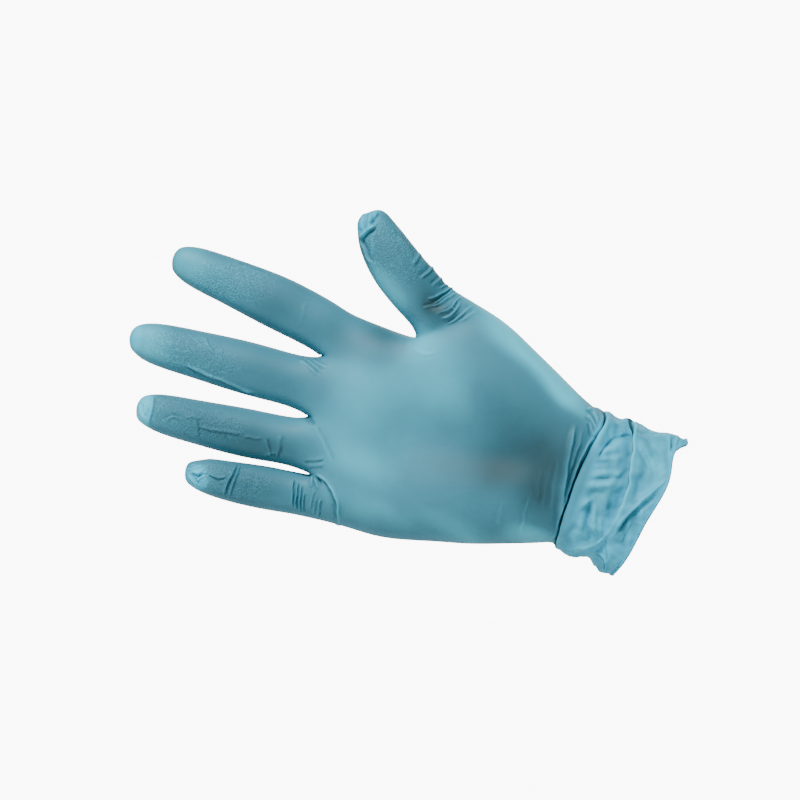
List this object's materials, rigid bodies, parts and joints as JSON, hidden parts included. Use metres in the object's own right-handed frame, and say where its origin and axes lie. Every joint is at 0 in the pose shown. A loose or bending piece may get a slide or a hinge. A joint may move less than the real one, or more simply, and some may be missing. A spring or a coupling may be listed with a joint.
{
  "type": "nitrile exam glove",
  "caption": "Thin dipped glove for a right hand, in worn form, hollow to the fingertips and open at a gathered cuff with a rolled bead.",
  "frame": {"origin": "middle of the wrist, where the glove grips it", "axes": "+X along the forearm, out of the cuff; -Y the way the palm faces; +Z towards the thumb's side"},
  "size_m": [0.2349, 0.0486, 0.1317],
  "materials": {
    "nitrile": "satin"
  },
  "bodies": {
    "root": {"glove": "nitrile"}
  },
  "joints": []
}
